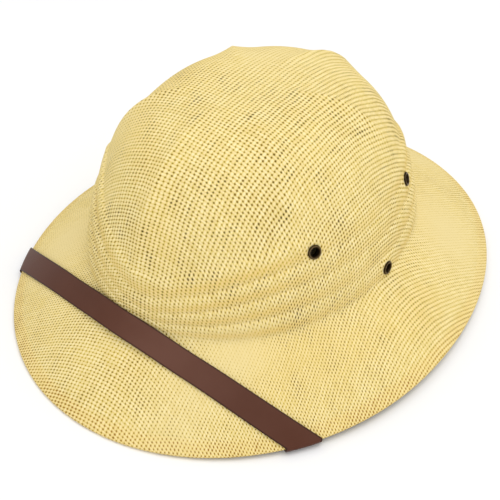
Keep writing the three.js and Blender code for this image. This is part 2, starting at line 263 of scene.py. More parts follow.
def crown_surface(angle, lean):
    """The crown's oval times the radius share, raised from foot to top by the height share."""
    x, y = oval(CROWN_WIDTH, CROWN_LENGTH, CROWN_WIDEST_AHEAD, angle)
    radius = dome_radius(lean)
    foot = crown_foot(angle)
    z = foot + (HELMET_HEIGHT - foot) * dome_height(lean)
    return np.stack(np.broadcast_arrays(x * radius, y * radius + CROWN_CENTRE_Y, z), axis=-1)


def edge_height(angle):
    """max(0, BRIM_SIDE_LIFT (1 - |cos(angle)| ^ BRIM_LIFT_POWER) - REST_DEPTH)."""
    lift = BRIM_SIDE_LIFT * (1 - np.abs(np.cos(angle)) ** BRIM_LIFT_POWER)
    return np.maximum(0, lift - REST_DEPTH)


def brim_surface(angle, reach):
    """In plan a straight way from the crown's oval to the brim's, falling by reach mixed with reach^2."""
    x0, y0 = oval(CROWN_WIDTH, CROWN_LENGTH, CROWN_WIDEST_AHEAD, angle)
    x1, y1 = oval(BRIM_WIDTH, BRIM_LENGTH, BRIM_WIDEST_AHEAD, angle)
    y0 = y0 + CROWN_CENTRE_Y
    y1 = y1 - BRIM_WIDEST_AHEAD
    fall = reach + (reach * reach - reach) * BRIM_ROUNDNESS
    foot = crown_foot(angle)
    z = foot + (edge_height(angle) + RIM_HEIGHT - foot) * fall
    return np.stack(np.broadcast_arrays(x0 + (x1 - x0) * reach, y0 + (y1 - y0) * reach, z), axis=-1)


def unit(vectors):
    """Each vector divided by its length."""
    return vectors / np.linalg.norm(vectors, axis=-1, keepdims=True)


def normal_of(surface, first, second, step=1e-4):
    """Cross product of the surface's slopes along its second and first parameter."""
    along_first = surface(first + step, second) - surface(first - step, second)
    along_second = surface(first, second + step) - surface(first, second - step)
    return unit(np.cross(along_second, along_first))


print("top of the dome", crown_surface(np.array(0.0), np.array(0.0)).round(4))

# %% [markdown]
# ## Ridges and pleats
# The block presses six soft ridges into the crown, and the straw gathers into four pleats round its
# foot, which narrow towards the front and the back. Their relief is added to the plain dome along its
# normal. Both are crisper than in the CAD model: the ridges are narrower, and each pleat swells close
# under its upper groove, as cloth does, and is deepest between the front and the sides.

# %% Press the relief
RIDGE_ANGLES = np.radians([6, 65, 118, 174, 230, 302])
RIDGE_HUB = (-0.07, 0.055)
RIDGE_HEIGHT = 0.004
RIDGE_HALF_WIDTH = math.radians(15)
RIDGE_START = 0.15
RIDGE_FULL = 0.75
RIDGE_FADE_HEIGHT = 0.8
RIDGE_FADE_KEEP = 0.55
GROOVES_AT_SIDES = (0.545, 0.408, 0.282, 0.14, 0.0)
GROOVES_AT_ENDS = (0.48, 0.33, 0.18, 0.13, 1.0)
PLEAT_SWEEP = math.radians(65)
PLEAT_TURN = math.radians(5)
PLEAT_BEND = math.radians(8)
PLEAT_DEPTH = 0.0021
PLEAT_ROUNDNESS = 0.85
PLEAT_LEAN = 0.65
PLEAT_SIDE_KEEP = 0.4
PLEAT_END_KEEP = 0.62
PLEAT_SIDE_BLEND = (0.8, 1.35)
PLEAT_END_BLEND = (0.15, 0.6)
PLEATS = len(GROOVES_AT_SIDES) - 1


def groove_height(groove, angle):
    """The groove's share at the sides, lowered to its share at the ends by a quarter sine."""
    from_end = np.arccos(np.abs(np.cos(angle - PLEAT_TURN)))
    sweep = np.sin(np.minimum(1, np.hypot(from_end, PLEAT_BEND) / PLEAT_SWEEP) * math.pi / 2)
    ends = GROOVES_AT_ENDS[groove]
    return GROOVES_AT_SIDES[groove] * (ends + (1 - ends) * sweep)


def pleat_strength(angle):
    """1 between the ends and the sides, PLEAT_END_KEEP at both ends, PLEAT_SIDE_KEEP at both sides."""
    from_end = np.arccos(np.abs(np.cos(angle)))
    at_end = 1 - (1 - PLEAT_END_KEEP) * (1 - smoothstep(from_end, *PLEAT_END_BLEND))
    return at_end * (1 - (1 - PLEAT_SIDE_KEEP) * smoothstep(from_end, *PLEAT_SIDE_BLEND))


def pleat_relief(angle, height):
    """Between two grooves depth sin(pi share ^ PLEAT_LEAN) ^ PLEAT_ROUNDNESS, less where it is narrow."""
    total = np.zeros(np.broadcast_shapes(np.shape(angle), np.shape(height)))
    depth = PLEAT_DEPTH * pleat_strength(angle)
    for i in range(PLEATS):
        top = groove_height(i, angle)
        bottom = groove_height(i + 1, angle)
        share = np.clip((top - height) / (top - bottom), 0, 1)
        fullness = (top - bottom) / (GROOVES_AT_SIDES[i] - GROOVES_AT_SIDES[i + 1])
        bulge = np.sin(math.pi * share ** PLEAT_LEAN)
        total = total + depth * fullness * np.clip(bulge, 0, 1) ** PLEAT_ROUNDNESS
    return total


def ridge_relief(angle, lean):
    """RIDGE_HEIGHT (1 - distance / RIDGE_HALF_WIDTH)^2 from the nearest ray out of the hub."""
    height = dome_height(lean)
    radius = dome_radius(lean)
    aside = radius * np.sin(angle) - RIDGE_HUB[0]
    ahead = radius * np.cos(angle) - RIDGE_HUB[1]
    bearing = np.arctan2(aside, ahead)[..., None]
    distance = 2 * np.arccos(np.abs(np.cos((bearing - RIDGE_ANGLES) / 2))).min(axis=-1)
    crest = np.clip(1 - distance / RIDGE_HALF_WIDTH, 0, 1) ** 2
    rise = smoothstep(np.hypot(aside, ahead), RIDGE_START, RIDGE_FULL)
    pleats_top = groove_height(0, angle)
    fade = RIDGE_FADE_KEEP + (1 - RIDGE_FADE_KEEP) * smoothstep(height, pleats_top, RIDGE_FADE_HEIGHT)
    end = smoothstep(height, groove_height(1, angle), pleats_top)
    return RIDGE_HEIGHT * crest * rise * fade * end


def relief(angle, lean):
    """The sum of both."""
    return ridge_relief(angle, lean) + pleat_relief(angle, dome_height(lean))


at_side = [round(float(groove_height(i, math.pi / 2)), 3) for i in range(PLEATS + 1)]
print("groove heights at the side", at_side)

# %% [markdown]
# ## Seats of the eyelets
# Three eyelets sit on each side. Each seat is a point over the dome, as far out as the CAD model has it,
# and the dome's normal there. The straw is pressed flat round it, so the flange lies on it all round.

# %% Find the seats
EYELETS = (("front", 67, 0.449, 0.0014), ("back", 120, 0.401, 0.0016), ("low", 97, 0.07, 0.0016))


def find_seat(angle_degrees, height, stand_out, side):
    """The dome's point at this angle and height share, stand_out off its face, and its normal there."""
    angle = np.array(math.radians(angle_degrees))
    lean = lean_at(np.array(height))
    normal = normal_of(crown_surface, angle, lean)
    point = crown_surface(angle, lean) + normal * stand_out
    mirror = np.array([side, 1, 1])
    return point * mirror, normal * mirror


seats = {}
for side_name, side in (("left", 1), ("right", -1)):
    for name, *place in EYELETS:
        seats[f"eyelet_{side_name}_{name}"] = find_seat(*place, side)
print(len(seats), "seats")

# %% [markdown]
# ## A sheet with two sides
# Straw and strap are both thin sheets, so one function makes their meshes. It takes two grids of
# points, one for each side, faces every kept cell on both sides, and puts a wall wherever a kept cell
# borders on nothing. That closes the rim, the ends and the holes in one way.


# %% Face two grids and wall their edges
def grid_corners(number, closed):
    """The four corner numbers of every cell, in the order that faces the outer side."""
    after = np.roll(number, -1, axis=1)
    width = number.shape[1] if closed else number.shape[1] - 1
    return [corner[:, :width] for corner in (number[:-1], number[1:], after[1:], after[:-1])]


def wall_quads(keep, corners, closed, has_pole, shift):
    """A quad from the outer to the inner grid on each cell edge that borders on no kept cell."""
    a, b, c, d = corners
    rows = np.pad(keep, ((1, 1), (0, 0)))
    rows[0] = has_pole
    before, after = np.roll(keep, 1, axis=1), np.roll(keep, -1, axis=1)
    if not closed:
        before[:, 0] = after[:, -1] = False
    quads = []
    for other, start, end in ((before, a, b), (rows[2:], b, c), (after, c, d), (rows[:-2], d, a)):
        bare = keep & ~other
        start, end = start[bare], end[bare]
        quads.append(np.stack([end, start, start + shift, end + shift], axis=1))
    return quads


def pole_triangles(number, shift):
    """Fans from the first ring to one point on each side."""
    ring, after = number[0], np.roll(number[0], -1)
    outer = np.stack([ring, after, np.full_like(ring, 2 * shift)], axis=1)
    inner = np.stack([after + shift, ring + shift, np.full_like(ring, 2 * shift + 1)], axis=1)
    return np.concatenate([outer, inner])


def put_mesh(name, points, quads, triangles, material, fields):
    """Mesh and object from the points that the faces use, with one named value for each point."""
    used, faces = np.unique(np.concatenate([quads.ravel(), triangles.ravel()]), return_inverse=True)
    split = quads.size
    mesh = bpy.data.meshes.new(name)
    mesh.from_pydata(points[used].tolist(), [],
                     faces[:split].reshape(-1, 4).tolist() + faces[split:].reshape(-1, 3).tolist())
    for field, values in fields.items():
        attribute = mesh.attributes.new(field, "FLOAT", "POINT")
        attribute.data.foreach_set("value", values[used].astype(np.float32))
    mesh.shade_smooth()
    mesh.materials.append(material)
    piece = bpy.data.objects.new(name, mesh)
    bpy.context.scene.collection.objects.link(piece)
    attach(piece, "root")
    print(name, len(mesh.vertices), "points", len(mesh.polygons), "faces")
    return piece


def make_sheet(name, outer, inner, material, fields, closed=False, keep=None, poles=None):
    """A closed sheet between two grids. Each field is one grid of values that both sides share."""
    number = np.arange(outer[..., 0].size).reshape(outer.shape[:2])
    corners = grid_corners(number, closed)
    shift = number.size
    if keep is None:
        keep = np.ones(corners[0].shape, bool)
    front = np.stack([corner[keep] for corner in corners], axis=1)
    walls = wall_quads(keep, corners, closed, poles is not None, shift)
    quads = np.concatenate([front, front[:, ::-1] + shift, *walls])
    points = [outer.reshape(-1, 3), inner.reshape(-1, 3)]
    values = {field: [grid.ravel(), grid.ravel()] for field, grid in fields.items()}
    triangles = np.zeros((0, 3), int)
    if poles is not None:
        triangles = pole_triangles(number, shift)
        points.append(np.array(poles))
        for field, grid in fields.items():
            values[field].append(np.full(2, grid[0].mean()))
    joined = {field: np.concatenate(parts) for field, parts in values.items()}
    return put_mesh(name, np.concatenate(points), quads, triangles, material, joined)


print("sheets have an outer side, an inner side and walls between them")

# %% [markdown]
# ## Flat seats and round holes
# Round each eyelet the grid is laid into the plane of the seat, cells inside the hole are dropped, and
# the points left on its edge are moved onto the circle. That is quicker and smoother than a boolean.

# %% Flatten and pierce
HOLE_RADIUS = 0.0037
SEAT_FLAT_RADIUS = 0.0050
SEAT_BLEND_RADIUS = 0.0080
SEAT_REACH = 0.005
HOLE_CELLS = 0.93
HOLE_REACH = 0.008


def from_axis(points, seat):
    """Height over the seat's plane, and the part of the way from the seat that lies in that plane."""
    point, normal = seat
    way = points - point
    height = way @ normal
    return height, way - height[..., None] * normal


def flatten(points, seat, depth):
    """Moves points near the seat into the plane that lies depth under it."""
    height, aside = from_axis(points, seat)
    near = 1 - smoothstep(np.linalg.norm(aside, axis=-1), SEAT_FLAT_RADIUS, SEAT_BLEND_RADIUS)
    near = near * (1 - smoothstep(np.abs(height + depth), SEAT_REACH / 2, SEAT_REACH))
    return points - ((height + depth) * near)[..., None] * seat[1]


def pierce(keep, grids, seat):
    """Drops the cells inside the hole and moves the hole's edge points onto its circle."""
    outer = grids[0]
    closed = keep.shape[1] == outer.shape[1]
    after = np.roll(outer, -1, axis=1)
    means = ((outer[:-1] + outer[1:] + after[:-1] + after[1:]) / 4)[:, :keep.shape[1]]
    height, aside = from_axis(means, seat)
    in_circle = np.linalg.norm(aside, axis=-1) < HOLE_RADIUS * HOLE_CELLS
    inside = in_circle & (np.abs(height) < HOLE_REACH)
    cells = np.pad(inside, ((1, 1), (0, 0 if closed else 1))).astype(int)
    beside = np.roll(cells, 1, axis=1)
    count = cells[1:] + cells[:-1] + beside[1:] + beside[:-1]
    on_edge = ((count > 0) & (count < 4))[..., None]
    moved = []
    for grid in grids:
        height, aside = from_axis(grid, seat)
        on_circle = seat[0] + height[..., None] * seat[1] + unit(aside) * HOLE_RADIUS
        moved.append(np.where(on_edge, on_circle, grid))
    return keep & ~inside, moved


print("holes of radius", HOLE_RADIUS)

# %% [markdown]
# ## The straw's grid
# The pressed sheet is sharpest in the grooves between its pleats and at its hem. The rows of the grid
# follow the pleats, so each groove has a row of its own, and they lie close at the hem. That shows the
# same edges with far fewer faces than an even grid.

# %% Lay the grid over crown and brim
STRAW_COLUMNS = 360
PANEL_ROWS = 44
PLEAT_ROWS = 10
BRIM_ROWS = 12
PANEL_ROW_POWER = 1.3
PLAIN_BRIM_END = 0.011
CROWN_FROM_RIM = 0.1
HEM_ROWS = np.array([0.0102, 0.0095, 0.009, 0.0085, 0.0078, 0.006, 0.004, 0.002, 0.0])[:, None]

angle = np.linspace(0, 2 * math.pi, STRAW_COLUMNS, endpoint=False)[None, :]
panel_share = (np.arange(1, PANEL_ROWS + 1)[:, None] / PANEL_ROWS) ** PANEL_ROW_POWER
pleat_share = (1 - np.cos(math.pi * np.arange(1, PLEAT_ROWS + 1)[:, None] / PLEAT_ROWS)) / 2
grooves = [groove_height(i, angle) for i in range(PLEATS + 1)]
leans = [panel_share * lean_at(grooves[0])]
for top, bottom in zip(grooves[:-1], grooves[1:]):
    leans.append(lean_at(top + (bottom - top) * pleat_share))
lean = np.concatenate(leans)

breadth = np.linalg.norm(brim_surface(angle, 1.0) - brim_surface(angle, 0.0), axis=-1)
brim_share = np.arange(1, BRIM_ROWS + 1)[:, None] / BRIM_ROWS
reach = np.concatenate([brim_share * (1 - PLAIN_BRIM_END / breadth), 1 - HEM_ROWS / breadth])
crown_grid, brim_grid = crown_surface(angle, lean), brim_surface(angle, reach)
from_rim = np.concatenate([breadth + CROWN_FROM_RIM * dome_height(lean), breadth * (1 - reach)])
print("crown grid", crown_grid.shape, "brim grid", brim_grid.shape)

# %% [markdown]
# Pressed straw can't make a sharp crease, so the corner between crown and brim is rounded. A Bezier arc
# from a point on the crown over the corner to a point on the brim does it. It is widest at the strap.

# %% Round the crease
CREASE_AT_STRAP = 0.006
CREASE_ELSEWHERE = 0.0028
CREASE_BLEND_DEGREES = (26, 42)
CROWN_PROBE = 0.05
BRIM_PROBE = 0.1

from_front = np.degrees(np.abs(np.angle(np.exp(1j * angle))))
past_strap = smoothstep(from_front, *CREASE_BLEND_DEGREES)
crease_reach = (CREASE_AT_STRAP + (CREASE_ELSEWHERE - CREASE_AT_STRAP) * past_strap)[..., None]
crease = brim_surface(angle, 0.0)
up_crown = unit(crown_surface(angle, lean_at(np.array(CROWN_PROBE))) - crease)
out_brim = unit(brim_surface(angle, BRIM_PROBE) - crease)


def round_crease(points):
    """Adds (crease_reach - distance)^2 / (4 crease_reach) (up_crown + out_brim) near the crease."""
    distance = np.linalg.norm(points - crease, axis=-1, keepdims=True)
    share = np.clip(crease_reach - distance, 0, None) ** 2 / (4 * crease_reach)
    return points + share * (up_crown + out_brim)


plain = round_crease(np.concatenate([crown_grid, brim_grid]))
print("the corner moves by", round(float(np.linalg.norm(plain[len(lean) - 1, 0] - crease[0, 0])), 5))

# %% [markdown]
# Relief and wall are measured along the surface's normal, so slopes get as much of them as level places
# do. The normal at a grid point is the cross product of the steps down the grid and round it.

# %% Find the grid's normals
down = np.gradient(plain, axis=0)
sideways = np.roll(plain, -1, axis=1) - np.roll(plain, 1, axis=1)
normals = unit(np.cross(down, sideways))
print("normal at the front of the rim", normals[-1, 0].round(3))

# %% [markdown]
# No pressed sheet is quite even. A slow ripple of a third of a millimetre, the sum of a few sine waves,
# keeps it from looking machined. It is left out under the strap, which lies close on the straw, and is
# weaker beside the strap's ends.

# %% Make a ripple
RIPPLE_WAVE = 0.06
RIPPLE_HEIGHT = 0.00035
RIPPLE_WAVES = 8
RIPPLE_GAIN = 2.8
RIPPLE_SEED = 4
RIPPLE_RIM_FADE = 0.01
STRAP_ENDS_SHARE = 0.4
PAST_STRAP_DEGREES = (62, 80)
PAST_ENDS_DEGREES = (110, 130)
OVER_STRAP_HEIGHTS = (0.15, 0.4)


def ripple(points):
    """Mean of sine waves of seeded directions, lengths and phases, times its height and gain."""
    rng = np.random.default_rng(RIPPLE_SEED)
    directions = unit(rng.normal(size=(RIPPLE_WAVES, 3))) * (2 * math.pi / RIPPLE_WAVE)
    directions = directions * rng.uniform(0.6, 1.6, (RIPPLE_WAVES, 1))
    phases = rng.uniform(0, 2 * math.pi, RIPPLE_WAVES)
    return RIPPLE_HEIGHT * np.sin(points @ directions.T + phases).mean(axis=-1) * RIPPLE_GAIN


beside_ends = STRAP_ENDS_SHARE * smoothstep(from_front, *PAST_STRAP_DEGREES)
behind_ends = (1 - STRAP_ENDS_SHARE) * smoothstep(from_front, *PAST_ENDS_DEGREES)
ripple_share = beside_ends + behind_ends + 0 * from_rim
over_strap = smoothstep(dome_height(lean), *OVER_STRAP_HEIGHTS)
ripple_share[:len(lean)] = np.maximum(ripple_share[:len(lean)], over_strap)
ripples = ripple_share * ripple(plain) * smoothstep(from_rim, 0, RIPPLE_RIM_FADE)
print("ripple up to", round(float(ripples.max()), 5))

# %% [markdown]
# The wall is as thick as the real sheet, and thicker where the hem is turned under, with a shallow seam
# along the hem's edge. Both sides of the sheet get the same relief, as pressing gives it.

# %% Raise the relief and give the straw its wall
SEAM_DEPTH = 0.0003
SEAM_WIDTH = 0.0009
HEM_STEP = 0.0008

raised = np.concatenate([relief(angle, lean), 0 * reach])
raised = raised + ripples
raised = raised - SEAM_DEPTH * np.exp(-((from_rim - HEM_WIDTH) / SEAM_WIDTH) ** 2)
hem = 1 - smoothstep(from_rim, HEM_WIDTH - HEM_STEP, HEM_WIDTH + HEM_STEP)
wall = STRAW_WALL + (HEM_THICKNESS - STRAW_WALL) * hem
outer = plain + normals * raised[..., None]
inner = plain + normals * (raised - wall)[..., None]
print("relief up to", round(float(raised.max()), 4))

# %% [markdown]
# ## The rim
# The hem is the brim's edge turned under, so the rim is round. Three more rows on each side turn
# towards each other round the middle of the wall.

# %% Turn the rim
outward = unit(plain[-1] - brim_surface(angle[0], 0.0))
middle = (outer[-1] + inner[-1]) / 2
to_face = (outer[-1] - inner[-1]) / 2
RIM_TURNS = np.radians([65, 40, 14])[:, None, None]
RIM_ROWS = len(RIM_TURNS)


def rim_rows(turns):
    """middle + sin(turn) to_face + cos(turn) RIM_BULGE outward."""
    return middle + np.sin(turns) * to_face + np.cos(turns) * RIM_BULGE * outward


outer = np.concatenate([outer, rim_rows(RIM_TURNS)])
inner = np.concatenate([inner, rim_rows(-RIM_TURNS)])
inner[..., 2] = np.maximum(inner[..., 2], 0.0)
print("lowest point", inner[..., 2].min())

# %% [markdown]
# The real eyelets are punched through the finished sheet. Here too their holes come last, when both
# sides of the wall are there, so each hole goes straight through along the normal of its seat.

# %% Open the eyelets' holes
keep = np.ones((len(outer) - 1, STRAW_COLUMNS), bool)
for seat in seats.values():
    outer = flatten(outer, seat, 0.0)
    inner = flatten(inner, seat, STRAW_WALL)
    keep, (outer, inner) = pierce(keep, (outer, inner), seat)
print(int((~keep).sum()), "cells dropped for the holes")

# %% [markdown]
# ## Which way the yarns run
# Yarns don't stretch, so a woven sheet pressed over a dome keeps its spacing along the yarns and
# shears between them, most of all at the four corners. The grain is counted in yarns: u counts them
# across the hat and v along it. At the sides u grows with the way down the crown, at the front v does.

# %% Count the yarns over the sheet
PITCH_ACROSS_TOP = 0.00285
PITCH_ACROSS_SIDE = 0.00262
PITCH_ALONG = 0.0022
POWER_ACROSS = 2.2
POWER_ALONG = 3.0
GRAIN_TURN = math.radians(5)


def grain_of(points):
    """u = r sin a / top pitch + (s - r) sin(a)^p / side pitch, and v = (r cos a + (s - r) cos(a)^q) / pitch,
    with r the plan radius, s the way from the top, a the plan angle from the front, p POWER_ACROSS and
    q POWER_ALONG. Sine and cosine keep their sign under the power."""
    top = np.array([0, CROWN_CENTRE_Y, HELMET_HEIGHT])
    steps = np.linalg.norm(np.diff(points, axis=0), axis=-1)
    first = np.linalg.norm(points[:1] - top, axis=-1)
    way = np.cumsum(np.concatenate([first, steps]), axis=0)
    aside, ahead = points[..., 0], CROWN_CENTRE_Y - points[..., 1]
    radius = np.hypot(aside, ahead)
    bearing = np.arctan2(aside, ahead) - GRAIN_TURN
    across, along = np.sin(bearing), np.cos(bearing)
    spare = way - radius
    down_side = spare * np.sign(across) * np.abs(across) ** POWER_ACROSS
    down_end = spare * np.sign(along) * np.abs(along) ** POWER_ALONG
    u = radius * across / PITCH_ACROSS_TOP + down_side / PITCH_ACROSS_SIDE
    return u, (radius * along + down_end) / PITCH_ALONG


past_rim = plain[-1] + RIM_BULGE * np.arange(1, RIM_ROWS + 1)[:, None, None] * outward
yarn_u, yarn_v = grain_of(np.concatenate([plain, past_rim]))
from_rim = np.concatenate([from_rim, np.zeros((RIM_ROWS, STRAW_COLUMNS))])
print("yarns across", round(float(np.ptp(yarn_u))), "along", round(float(np.ptp(yarn_v))))

# %% [markdown]
# The lower side of each pleat faces down into shade, and so does the corner between crown and brim. A
# value marks them for a warm painted shade: it is highest there and falls off on both sides.

# %% Mark the pleats' lower sides
SHADE_PLACE = 0.66
SHADE_SPREAD = 0.22
CREASE_SHADE = 0.3
CREASE_SHADE_REACH = 0.0025

# Painted shade on the pleats' lower sides and at the crease between crown and brim.
lower_side_shade = np.exp(-((pleat_share - SHADE_PLACE) / SHADE_SPREAD) ** 2)
painted_crease_shade = CREASE_SHADE * np.exp(-(breadth * reach / CREASE_SHADE_REACH) ** 2)
hollow = np.concatenate([0 * panel_share, *[lower_side_shade] * PLEATS]) * pleat_strength(angle)
hollow = np.concatenate([hollow, painted_crease_shade, np.zeros((RIM_ROWS, STRAW_COLUMNS))])
print("mean of the mark", round(float(hollow.mean()), 3))

# %% [markdown]
# In some places the press has closed the weave, and the sheet looks smooth there. Such a place is a soft
# spot round a point: its centre, its radius and how far it is closed. Slack is 1 where no spot lies.

# %% Close the weave where it was pressed
PRESSED_SPOTS = np.array([
    (-0.089, -0.092, 0.034, 0.030, 0.92), (0.090, 0.083, 0.030, 0.036, 0.90),
    (0.069, -0.102, 0.040, 0.019, 0.75), (-0.022, 0.030, 0.148, 0.034, 0.55),
    (-0.075, -0.065, 0.085, 0.028, 0.45), (0.060, -0.150, 0.012, 0.020, 0.35),
    (-0.100, 0.080, 0.030, 0.034, 0.80), (0.020, 0.150, 0.015, 0.030, 0.70),
    (0.035, -0.105, 0.036, 0.016, 0.60), (0.055, -0.125, 0.026, 0.018, 0.50),
    (-0.055, -0.055, 0.115, 0.024, 0.45)])

sheet_points = np.concatenate([plain, past_rim])
far = np.linalg.norm(sheet_points[..., None, :] - PRESSED_SPOTS[:, :3], axis=-1) / PRESSED_SPOTS[:, 3]
slack = np.prod(1 - PRESSED_SPOTS[:, 4] * np.exp(-far ** 2), axis=-1)
print("slack from", round(float(slack.min()), 2), "to", round(float(slack.max()), 2))

# %% [markdown]
# ## The straw's finish
# The weave is a plain one: at every crossing one yarn lies over the other, and small holes stay open
# between them. Modelled yarns would take millions of faces, so the finish draws them from the counts u
# and v. Handmade rows are never quite straight, so a slow and a quick noise push the counts about.

# %% Count the rows, with a little wander
SLOW_WANDER = 0.8
QUICK_WANDER = 0.25

straw = Finish("straw", Roughness=0.7, Specular_IOR_Level=0.0)
u = straw.attribute("yarn_u")
v = straw.attribute("yarn_v")
edge = straw.attribute("from_rim")
painted_shade_here = straw.attribute("hollow")
slack_here = straw.attribute("slack")


def wandering(rows, slow_scale, quick_scale):
    """The rows' count plus a slow noise and a weaker quick one, both about zero."""
    slow = (straw.noise(slow_scale, detail=1.0) - 0.5) * SLOW_WANDER
    quick = (straw.noise(quick_scale, detail=1.0) - 0.5) * QUICK_WANDER
    return rows + slow + quick


u = wandering(u, 40.0, 260.0)
v = wandering(v, 36.0, 240.0)
print("the rows wander by about a third of a yarn")

# %% [markdown]
# A yarn lies between two whole numbers of its count and a hole where both counts are whole, so the sine
# of pi times a count is 0 in the gaps. Its product with the other sine changes its sign from crossing to
# crossing, and says which yarn lies on top. The powers make the yarns round.

# %% Weave the yarns
OVER_AND_UNDER = 0.4
YARN_MIDDLE = 0.6
YARN_ROUNDNESS = 0.6

wave_u = (u * math.pi).math("SINE")
wave_v = (v * math.pi).math("SINE")
across = wave_u.math("ABSOLUTE")
along = wave_v.math("ABSOLUTE")
over = wave_u * wave_v * OVER_AND_UNDER
warp = (across ** YARN_ROUNDNESS) * (YARN_MIDDLE + over)
weft = (along ** YARN_ROUNDNESS) * (YARN_MIDDLE - over)
yarn_height = warp.math("MAXIMUM", weft)
print("one hole at each crossing of a u and a v row")

# %% [markdown]
# The holes aren't all alike. Most are a soft yellow-brown, because the lower yarns show in them in painted
# shade. Here and there a short row of them stands fully open, where two yarns that run from front to back
# have drifted apart, and the hat's dark inside shows through as a near-black painted shade. This painted
# shade is deeper on the crown; on the brim light comes through from below, so fewer holes look dark.

# %% Open the holes
ROWS_ACROSS = 0.36
ROWS_ALONG = 0.13
HOLE_CHANGE = 0.8
LEAST_OPEN = 0.3
PRESSED_KEEP = 0.25

in_hem = 1.0 - edge.smooth(HEM_WIDTH - 0.003, HEM_WIDTH + 0.001)
on_crown = edge.smooth(0.045, 0.07)
row_place = straw.add("ShaderNodeCombineXYZ", None, {0: u * ROWS_ACROSS, 1: v * ROWS_ALONG, 2: 0.0})
open_rows = straw.noise(1.0, row_place, detail=1.0).smooth(0.5, 0.72)
each_hole = straw.add("ShaderNodeCombineXYZ", None, {0: u * HOLE_CHANGE, 1: v * HOLE_CHANGE, 2: 8.0})
own_size = (straw.noise(1.0, each_hole, detail=0.0) - 0.5) * 0.45
openness = straw.noise(38.0).smooth(0.3, 0.7, 0.52, 0.82) + own_size + on_crown * 0.08 + in_hem * 0.22
openness = (openness - painted_shade_here * 0.12).math("MAXIMUM", LEAST_OPEN)
woven = slack_here * (1 - PRESSED_KEEP) + PRESSED_KEEP
openness = (openness + open_rows * 0.2) * woven
from_hole = (across * across + along * along) ** 0.5
hole = 1.0 - (from_hole / openness).smooth(0.3, 1.0)
# Painted shade of the hat's dark inside, seen through the holes: deepest in the open rows and on the crown.
hole_shade = (open_rows * (on_crown * 0.6 + 0.35) + on_crown * 0.08) * slack_here
print("openness from", LEAST_OPEN, "up where the weave is slack")

# %% [markdown]
# Straw is never one colour. Thin streaks follow the yarns, warmer patches lie here and there, the hem is
# two layers deep and looks more orange, and pressed places are smooth and even. Painted shade makes the
# pleats' lower sides and the crease a warmer orange, and the gaps beside a yarn a deep yellow. The layers
# are mixed one over the other, with the holes last, as they cut through all of it. The height of the yarns
# goes into a bump.

# %% Colour the straw
# Hole colours: the lower yarns in painted shade, and the near-black painted shade of the hat's inside where
# a hole stands fully open.
HOLE_COLOUR = (0.19, 0.095, 0.0, 1.0)
OPEN_HOLE_SHADE = (0.035, 0.01, 0.0, 1.0)
CLOSED_STRAW = (0.78, 0.64, 0.31, 1.0)
HEM_HOLE = (0.30, 0.12, 0.01, 1.0)
# The colour of the painted shade in the gaps between yarns.
SHADED_DEEP_STRAW = (0.67, 0.48, 0.05, 1.0)
MIDDLE_STRAW = (0.80, 0.645, 0.295, 1.0)
PALE_STRAW = (0.895, 0.755, 0.41, 1.0)
WARM_AND_SHADED_STRAW = (0.84, 0.62, 0.24, 1.0)

down_yarn = straw.add("ShaderNodeCombineXYZ", None, {0: u, 1: v * 0.12, 2: 0.0})
across_yarn = straw.add("ShaderNodeCombineXYZ", None, {0: u * 0.12, 1: v, 2: 4.0})
streaks = (straw.noise(1.3, down_yarn) + straw.noise(1.3, across_yarn)) * 0.5
colour = straw.mix(streaks.smooth(0.35, 0.65), MIDDLE_STRAW, PALE_STRAW)
patches = straw.noise(14.0).smooth(0.52, 0.72)
# The warm mix carries the hem's real orange, random warm patches, and the warm painted shade of the pleats'
# lower sides and the crease.
warmth_and_shade = (in_hem * 0.35).math("MAXIMUM", patches * 0.3).math("MAXIMUM", painted_shade_here * 0.8)
colour = straw.mix(warmth_and_shade, colour, WARM_AND_SHADED_STRAW)
colour = straw.mix(1.0 - slack_here, colour, CLOSED_STRAW)
# Painted shade: the gaps beside each yarn, where the yarns dip, are darkened to a deep yellow.
shade_between_yarns = (1.0 - yarn_height.smooth(0.2, 0.78)) * slack_here
colour = straw.mix(shade_between_yarns, colour, SHADED_DEEP_STRAW)
hole_colour = straw.mix(hole_shade, HOLE_COLOUR, OPEN_HOLE_SHADE)
colour = straw.mix(hole, colour, straw.mix(in_hem, hole_colour, HEM_HOLE))
straw.paint(Base_Color=colour)
straw.bump((yarn_height - hole * 0.8) * woven, 0.0004, 0.8)
print("straw from deep to pale")

# %% [markdown]
# Crown and brim are one pressed sheet, so they are one mesh too, closed round the hat and at its top.
# Each point carries its counts of yarns and its marks, and the finish reads them there.

# %% Make the shell
crown_top = (0, CROWN_CENTRE_Y, HELMET_HEIGHT)
crown_top_inside = (0, CROWN_CENTRE_Y, HELMET_HEIGHT - STRAW_WALL)
shell = make_sheet("straw_helmet", outer, inner, straw.material,
                   {"yarn_u": yarn_u, "yarn_v": yarn_v, "from_rim": from_rim, "hollow": hollow,
                    "slack": slack},
                   closed=True, keep=keep, poles=[crown_top, crown_top_inside])
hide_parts("helmet_shell")

# %% [markdown]
# ## The strap's way
# The strap lies over the front of the brim, climbs the crown's foot a little in the middle, folds round
# the rim on both sides and runs under the brim to the low eyelets. Each point of it comes from a place
# on the brim or the crown and the normal there, so it keeps its gap to the straw.

# %% Lay the strap over the brim
STRAP_WIDTH = 0.0165
STRAP_THICKNESS = 0.0012
STRAP_GAP = 0.00035
STRAP_ROOM = STRAP_GAP + STRAP_THICKNESS / 2
RIM_ANGLES = np.radians([52.3, 60.5])
START_REACH = np.array([0.235, 0.014])
REACH_POWER = np.array([2.4, 2.5])
CLIMB = np.array([0.0026, 0.0043])
CLIMB_ANGLES = np.radians([25, 30])
EDGE_SHARES = np.array([0, 0.008, 0.02, 0.036, 0.06, 0.11, 0.19, 0.28, 0.39])
ACROSS = np.concatenate([EDGE_SHARES, [0.5], 1 - EDGE_SHARES[::-1]])


